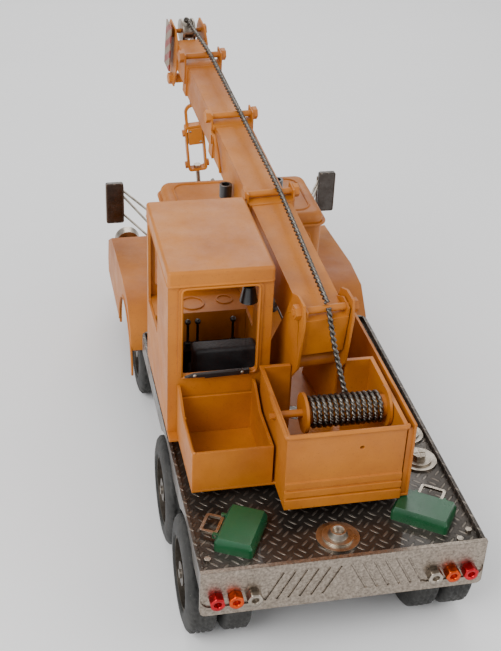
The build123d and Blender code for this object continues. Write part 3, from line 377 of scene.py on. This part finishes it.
def twisted_rope(name, body, points, node, strands=2, radius=0.00085, reach=0.00078, lay=0.0066):
    """Wire rope of strands wound round the line through the points."""
    dense = []
    for a, b in zip(points, points[1:]):
        steps = max(1, int((b - a).length / 0.0007))
        dense += [a.lerp(b, i / steps) for i in range(steps)]
    dense.append(points[-1])
    bm = bmesh.new()
    travelled = [0.0]
    for a, b in zip(dense, dense[1:]):
        travelled.append(travelled[-1] + (b - a).length)
    for strand in range(strands):
        line = []
        for i, p in enumerate(dense):
            ahead = dense[min(i + 1, len(dense) - 1)] - dense[max(i - 1, 0)]
            ahead.normalize()
            side = ahead.cross(Vector((0, 0, 1)))
            if side.length < 0.05:
                side = ahead.cross(Vector((1, 0, 0)))
            side.normalize()
            top = side.cross(ahead)
            turn = 2 * math.pi * (travelled[i] / lay + strand / strands)
            line.append(p + reach * (math.cos(turn) * side + math.sin(turn) * top))
        tube_along(bm, line, radius, 8)
    obj = mesh_object(name, bm, "rope_steel", body)
    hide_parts(node)
    return obj


def hexagon(bm, centre, axis, across_flats, height, bore=0.0, turn=0.0):
    """Chamfered hex nut or bolt head standing on centre along axis."""
    axis = Vector(axis).normalized()
    side = axis.cross(Vector((0, 0, 1)))
    if side.length < 0.1:
        side = axis.cross(Vector((1, 0, 0)))
    side.normalize()
    top = side.cross(axis)
    count = 48
    rings = []
    inradius = across_flats / 2

    def outline(scale_chamfer, level):
        ring = []
        for k in range(count):
            a = 2 * math.pi * k / count + turn
            local = (a - turn) % (math.pi / 3) - math.pi / 6
            r = min(inradius / math.cos(local), inradius * scale_chamfer)
            ring.append(bm.verts.new(centre + axis * level + r * (math.cos(a) * side + math.sin(a) * top)))
        return ring

    rings.append(outline(1.05, 0.0))
    rings.append(outline(1.2, height * 0.12))
    rings.append(outline(1.2, height * 0.86))
    rings.append(outline(1.03, height))
    inner_top, inner_low = [], []
    r = bore if bore else inradius * 0.4
    for k in range(count):
        a = 2 * math.pi * k / count + turn
        d = math.cos(a) * side + math.sin(a) * top
        inner_top.append(bm.verts.new(centre + axis * height + r * 1.12 * d))
        inner_low.append(bm.verts.new(centre + axis * height * (0.84 if bore else 1.06) + r * d))
    rings += [inner_top, inner_low]
    if bore:
        rings.append([bm.verts.new(v.co - axis * height * 0.5) for v in inner_low])
    for a, b in zip(rings, rings[1:]):
        for k in range(count):
            bm.faces.new((a[k], a[(k + 1) % count], b[(k + 1) % count], b[k]))
    bm.faces.new(list(reversed(rings[0])))
    bm.faces.new(rings[-1])


def dome(bm, centre, axis, radius, height, segments=24):
    """Round rivet or button head."""
    axis = Vector(axis).normalized()
    side = axis.orthogonal().normalized()
    top = axis.cross(side)
    rings = []
    for step in range(7):
        a = math.pi / 2 * step / 7
        rings.append([bm.verts.new(centre + axis * height * math.sin(a) + radius * math.cos(a)
                                   * (math.cos(2 * math.pi * k / segments) * side
                                      + math.sin(2 * math.pi * k / segments) * top))
                      for k in range(segments)])
    tip = bm.verts.new(centre + axis * height)
    for a, b in zip(rings, rings[1:]):
        for k in range(segments):
            bm.faces.new((a[k], a[(k + 1) % segments], b[(k + 1) % segments], b[k]))
    for k in range(segments):
        bm.faces.new((rings[-1][k], rings[-1][(k + 1) % segments], tip))
    bm.faces.new(list(reversed(rings[0])))


# ---------------------------------------------------------------- tyres with tread



def is_groove(pattern, row, k):
    """Whether the tread is cut at this row across and step k round."""
    if pattern == "blocks":
        return (k + row * 2) % 6 < 2 or (k - row * 2) % 6 < 1
    return row in (3, 6, 9) or (k + (row % 2) * 3) % 6 < 1


def tread_tyre(bm, centre, pattern):
    """One tyre: bead, sidewall and shoulder at each side, and a grooved crown between them."""
    half = TYRE_HALF_WIDTH
    wall = [(-half, 0.0200), (-half, 0.0225), (-half + 0.0003, 0.0262), (-half + 0.0012, 0.0292)]
    crown_half = half - 0.0026
    rings = []
    profile = [(x, r, None) for x, r in wall]
    profile += [(-crown_half + row * 2 * crown_half / TREAD_ROWS, None, row) for row in range(TREAD_ROWS + 1)]
    profile += [(-x, r, None) for x, r in reversed(wall)]
    for x, r, row in profile:
        ring = []
        for k in range(TYRE_SEGMENTS):
            a = 2 * math.pi * k / TYRE_SEGMENTS
            radius = r
            if row is not None:
                radius = WHEEL_R - CROWN_DROP * (x / half) ** 2
                if is_groove(pattern, row, k):
                    radius -= TREAD_DEPTH
            ring.append(bm.verts.new((centre.x + x, centre.y + radius * math.cos(a),
                                      centre.z + radius * math.sin(a))))
        rings.append(ring)
    rings.append(rings[0])
    for a, b in zip(rings, rings[1:]):
        for k in range(TYRE_SEGMENTS):
            bm.faces.new((a[k], a[(k + 1) % TYRE_SEGMENTS], b[(k + 1) % TYRE_SEGMENTS], b[k]))


for name, d, seats, pattern in (("rear", 42, (0.050, 0.068), "ribs"), ("middle", 110, (0.050, 0.068), "ribs"),
                                ("front", 258, (0.064,), "blocks")):
    bm = bmesh.new()
    for side in (-1, 1):
        for seat in seats:
            tread_tyre(bm, Vector((side * seat, station(d), WHEEL_R)), pattern)
    bmesh.ops.recalc_face_normals(bm, faces=bm.faces)
    tyres = mesh_object(f"{name}_tyres_tread", bm, "tyre", f"{name}_wheels")
    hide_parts(f"{name}_tyres")

# ---------------------------------------------------------------- nuts, bolts and rivets

for node, x in (("tail_nuts_red", 64.5), ("tail_nuts_orange", 55.2), ("tail_nuts_clear", 46.0)):
    bm = bmesh.new()
    for side in (-1, 1):
        low = Vector((side * x / 1000, station(0.8), NUT_LEVEL))
        turn = random.Random(x * side).random()
        hexagon(bm, low, (0, -1, 0), NUT_FLATS, NUT_HEIGHT, NUT_BORE, turn)
        dome(bm, low + Vector((0, -0.0026, 0)), (0, -1, 0), STUD_R, STUD_R / 2)
    bmesh.ops.recalc_face_normals(bm, faces=bm.faces)
    nuts = mesh_object(node + "_threaded", bm, SLOT_OF[node], "truck")
    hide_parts(node)

bm = bmesh.new()
for x in (-59, -33.5):
    dome(bm, Vector((x / 1000, station(101.4), 0.1132)), (0, -1, 0), 0.0010, 0.0006)
bmesh.ops.recalc_face_normals(bm, faces=bm.faces)
mesh_object("wiper_rivets", bm, "zinc_hardware", "crane")

# ---------------------------------------------------------------- wire rope

PIVOT = Vector((0.0065, station(92), 0.155))
RIGHT = Vector((math.cos(YAW), math.sin(YAW), 0))
ALONG = Vector((-math.sin(YAW) * math.cos(LUFF), math.cos(YAW) * math.cos(LUFF), math.sin(LUFF)))
UP = RIGHT.cross(ALONG)


def boom(x, along, up):
    """A point from millimetres across, along and above the boom's line."""
    return PIVOT + (RIGHT * x + ALONG * along + UP * up) / 1000


def eased(points, radius=0.02, steps=8):
    """The route with each inner corner rounded."""
    out = [points[0]]
    for before, corner, after in zip(points, points[1:], points[2:]):
        back = (before - corner)
        ahead = (after - corner)
        cut = min(radius, back.length * 0.4, ahead.length * 0.4)
        a, b = corner + back.normalized() * cut, corner + ahead.normalized() * cut
        for i in range(steps + 1):
            t = i / steps
            out.append(a * (1 - t) ** 2 + corner * 2 * t * (1 - t) + b * t ** 2)
    out.append(points[-1])
    return out


twisted_rope("rope_along_boom", "tip", eased([boom(0.5, 0.5, 3.4), boom(5, 98, 3.4), boom(4.5, 180, 3.4),
             boom(4, 251, 3.4), boom(0, 289.5, 3.5)]), "rope_boom_run")
twisted_rope("rope_from_drum", "crane", eased([Vector((0.0115, station(63), 0.1225)),
             Vector((0.009, station(78), 0.139)), boom(0.4, -3, 2.6)], 0.012), "rope_drum_run")

drum_centre = Vector((0, station(62), 0.1125))
winding = []
start_x, end_x = WINDING_X
for i in range(DRUM_TURNS * DRUM_STEPS + 1):
    a = 2 * math.pi * i / DRUM_STEPS
    x = start_x + 0.0015 + (end_x - start_x - 0.003) * i / (DRUM_TURNS * DRUM_STEPS)
    winding.append(drum_centre + Vector((x, WINDING_R * math.cos(a), WINDING_R * math.sin(a))))
twisted_rope("rope_on_drum", "drum", winding, "rope_winding", 2, 0.00078, 0.0006, 0.0058)

sheave = boom(0, SHEAVE_ALONG, -SHEAVE_DROP)
fall = [sheave + ROPE_PATH_R * Vector((0, math.sin(a), math.cos(a)))
        for a in [math.radians(t) for t in range(-8, 91, 6)]]
fall.append(sheave + Vector((0, ROPE_PATH_R, -0.002)))
fall.append(sheave + Vector((math.sin(HOOK_LEAN) * FALL_LENGTH, ROPE_PATH_R,
                             -math.cos(HOOK_LEAN) * FALL_LENGTH)))
rope_fall = twisted_rope("rope_to_hook", None, fall, "rope_hook_fall")
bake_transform(rope_fall)

# ---------------------------------------------------------------- beads, seams and small wire parts


def rounded_ring(x_range, y_range, z, corner, steps=8):
    """Closed level route round a rectangle with round corners."""
    (x0, x1), (y0, y1) = x_range, y_range
    out = []
    for cx, cy, first in ((x1 - corner, y1 - corner, 0), (x0 + corner, y1 - corner, 90),
                          (x0 + corner, y0 + corner, 180), (x1 - corner, y0 + corner, 270)):
        for i in range(steps + 1):
            a = math.radians(first + 90 * i / steps)
            out.append(Vector((cx + corner * math.cos(a), cy + corner * math.sin(a), z)))
    out.append(out[0].copy())
    return out


def bead(name, route, radius, slot_name, body, up=Vector((0, 0, 1))):
    """A round wire or rolled edge along a route."""
    bm = bmesh.new()
    tube_along(bm, route, radius, 12, up)
    bmesh.ops.recalc_face_normals(bm, faces=bm.faces)
    return mesh_object(name, bm, slot_name, body)


# Each edge runs round a rectangle. The last pair gives the part of the route that the bead follows.
for name, x_range, d_range, z, corner, radius, body, (first, last) in (
        ("truck_roof_bead", (-0.0415, 0.0415), (252, 298), 0.1300, 0.008, 0.0008, "truck", (0, 37)),
        ("truck_roof_drip_edge", (-0.0502, 0.0502), (243.8, 306.7), 0.1226, 0.0085, 0.0009, "truck", (0, 37)),
        ("crane_roof_lower_edge", (-0.0729, -0.0181), (103.8, 185.2), 0.1668, 0.002, 0.0008, "crane",
         (0, 37)),
        ("winch_box_rolled_rim", (-0.0250, 0.0370), (34.6, 70), 0.1186, 0.0015, 0.0012, "crane", (9, 36)),
        ("rear_tray_rim", (-0.0675, -0.0265), (54.5, 84), 0.0990, 0.0012, 0.0008, "crane", (9, 27))):
    route = rounded_ring(x_range, (station(d_range[0]), station(d_range[1])), z, corner)[first:last]
    bead(name, route, radius, "orange_paint", body)
window = [Vector((x, station(103.5), z)) for x, z in
          ((-0.0658, 0.1115), (-0.0252, 0.1115), (-0.0252, 0.1652), (-0.0658, 0.1652), (-0.0658, 0.1115))]
bead("rear_window_bead", eased(window, 0.003), 0.0007, "orange_paint", "crane", up=Vector((0, 1, 0)))
for side in (-1, 1):
    arch = [Vector((side * 0.0780, station(258) + ARCH_R * math.cos(math.radians(t)),
                    WHEEL_R + ARCH_R * math.sin(math.radians(t)))) for t in range(4, 177, 4)]
    bead(f"wheel_arch_bead_{'left' if side < 0 else 'right'}", arch, 0.0008, "orange_paint", "truck",
         up=Vector((1, 0, 0)))
bead("section_2_locking_lever", eased([boom(-12.4, 175, -7), boom(-14.2, 172, -6), boom(-14.2, 165, -4),
     boom(-13.0, 160, -12), boom(-12.8, 152, -22)], 0.002), 0.0009, "orange_paint", "second_section")
seam = [Vector((x, station(245.9), z)) for x, z in ((-0.040, 0.117), (0.040, 0.117), (0.040, 0.070),
        (-0.040, 0.070), (-0.040, 0.117))]
bead("truck_cab_rear_panel_seam", eased(seam, 0.005), 0.0006, "orange_paint", "truck", up=Vector((0, 1, 0)))


def hook_point(x, y, down):
    """A point from the sheave in the hook block's leaning frame."""
    return (sheave + Vector((0, ROPE_PATH_R + y, 0))
            + Vector((math.cos(HOOK_LEAN), 0, math.sin(HOOK_LEAN))) * x
            + Vector((math.sin(HOOK_LEAN), 0, -math.cos(HOOK_LEAN))) * down)


bm = bmesh.new()
plate = []
for y in (-0.0049, -0.0037):
    for x, down in ((-0.0052, 0.0735), (0.0052, 0.0735), (0.0052, 0.0860), (-0.0052, 0.0860)):
        plate.append(bm.verts.new(hook_point(x, y, down)))
for face in ((0, 1, 2, 3), (7, 6, 5, 4), (0, 4, 5, 1), (1, 5, 6, 2), (2, 6, 7, 3), (3, 7, 4, 0)):
    bm.faces.new([plate[i] for i in face])
bmesh.ops.recalc_face_normals(bm, faces=bm.faces)
soften(mesh_object("hook_block_cover", bm, "orange_paint", "block"), 0.0005, 3)
bm = bmesh.new()
for x, down in ((-0.0035, 0.0755), (0.0035, 0.0840)):
    dome(bm, hook_point(x, -0.0049, down), (0, -1, 0), 0.0009, 0.0006, 16)
bmesh.ops.recalc_face_normals(bm, faces=bm.faces)
mesh_object("hook_cover_rivets", bm, "zinc_hardware", "block")

# ---------------------------------------------------------------- seat

lo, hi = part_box("operator_seat")
bm = bmesh.new()
for (x0, x1), (y0, y1), (z0, z1) in (((lo.x, hi.x), (station(132.6), hi.y), (0.084, 0.0925)),
                                     ((lo.x, hi.x), (lo.y, station(133)), (0.0865, hi.z))):
    made = bmesh.ops.create_cube(bm, size=1)
    for v in made["verts"]:
        v.co = Vector((x0 + (v.co.x + 0.5) * (x1 - x0), y0 + (v.co.y + 0.5) * (y1 - y0),
                       z0 + (v.co.z + 0.5) * (z1 - z0)))
seat = mesh_object("operator_seat_upholstery", bm, "seat_leather", "crane")
round_off = seat.modifiers.new("rounding", "BEVEL")
round_off.width = 0.0024
round_off.segments = 6
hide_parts("operator_seat")

# ---------------------------------------------------------------- light, floor and camera

world = bpy.context.scene.world or bpy.data.worlds.new("studio")
bpy.context.scene.world = world
world.use_nodes = True
background = world.node_tree.nodes["Background"]
background.inputs["Color"].default_value = (0.95, 0.95, 0.96, 1)
background.inputs["Strength"].default_value = 0.7

bm = bmesh.new()
bmesh.ops.create_grid(bm, x_segments=FLOOR_CELLS, y_segments=FLOOR_CELLS, size=FLOOR_HALF)
mesh = bpy.data.meshes.new("studio_floor")
bm.to_mesh(mesh)
bm.free()
floor = bpy.data.objects.new("studio_floor", mesh)
bpy.context.scene.collection.objects.link(floor)
floor_graph = Graph("studio_paper")
paper = floor_graph.ramp(floor_graph.noise(3, 4), [(0.3, (0.93, 0.93, 0.93)), (0.7, (0.96, 0.96, 0.96))])
floor_graph.link(paper, floor_graph.shader.inputs["Base Color"])
set_values(floor_graph.shader, Roughness=0.8)
mesh.materials.append(floor_graph.material)
for name, place, energy, wide in (("key", (-0.85, -0.75, 1.05), 17, 0.8),
                                  ("fill", (0.95, -0.65, 0.7), 5, 1.0),
                                  ("back", (0.1, 1.0, 1.0), 7, 0.9)):
    data = bpy.data.lights.new(name, "AREA")
    data.energy = energy
    data.size = wide
    lamp = bpy.data.objects.new(name, data)
    lamp.location = place
    lamp.rotation_euler = (Vector((0, 0, 0.08)) - Vector(place)).to_track_quat("-Z", "Y").to_euler()
    bpy.context.scene.collection.objects.link(lamp)

camera_data = bpy.data.cameras.new("camera")
camera_data.sensor_fit = "HORIZONTAL"
camera_data.sensor_width = SENSOR_MM
camera_data.lens = LENS_MM
camera_data.clip_start = 0.01
camera = bpy.data.objects.new("camera", camera_data)
ahead = Vector((math.sin(CAMERA_TURN) * math.cos(CAMERA_DOWN), math.cos(CAMERA_TURN) * math.cos(CAMERA_DOWN),
                -math.sin(CAMERA_DOWN)))
level_right = Vector((math.cos(CAMERA_TURN), -math.sin(CAMERA_TURN), 0))
level_down = ahead.cross(level_right)
cam_right = math.cos(CAMERA_ROLL) * level_right + math.sin(CAMERA_ROLL) * level_down
cam_down = -math.sin(CAMERA_ROLL) * level_right + math.cos(CAMERA_ROLL) * level_down
rotation = Matrix((cam_right, -cam_down, -ahead)).transposed()
camera.matrix_world = Matrix.Translation(Vector(CAMERA_PLACE)) @ rotation.to_4x4()
bpy.context.scene.collection.objects.link(camera)
bpy.context.scene.camera = camera
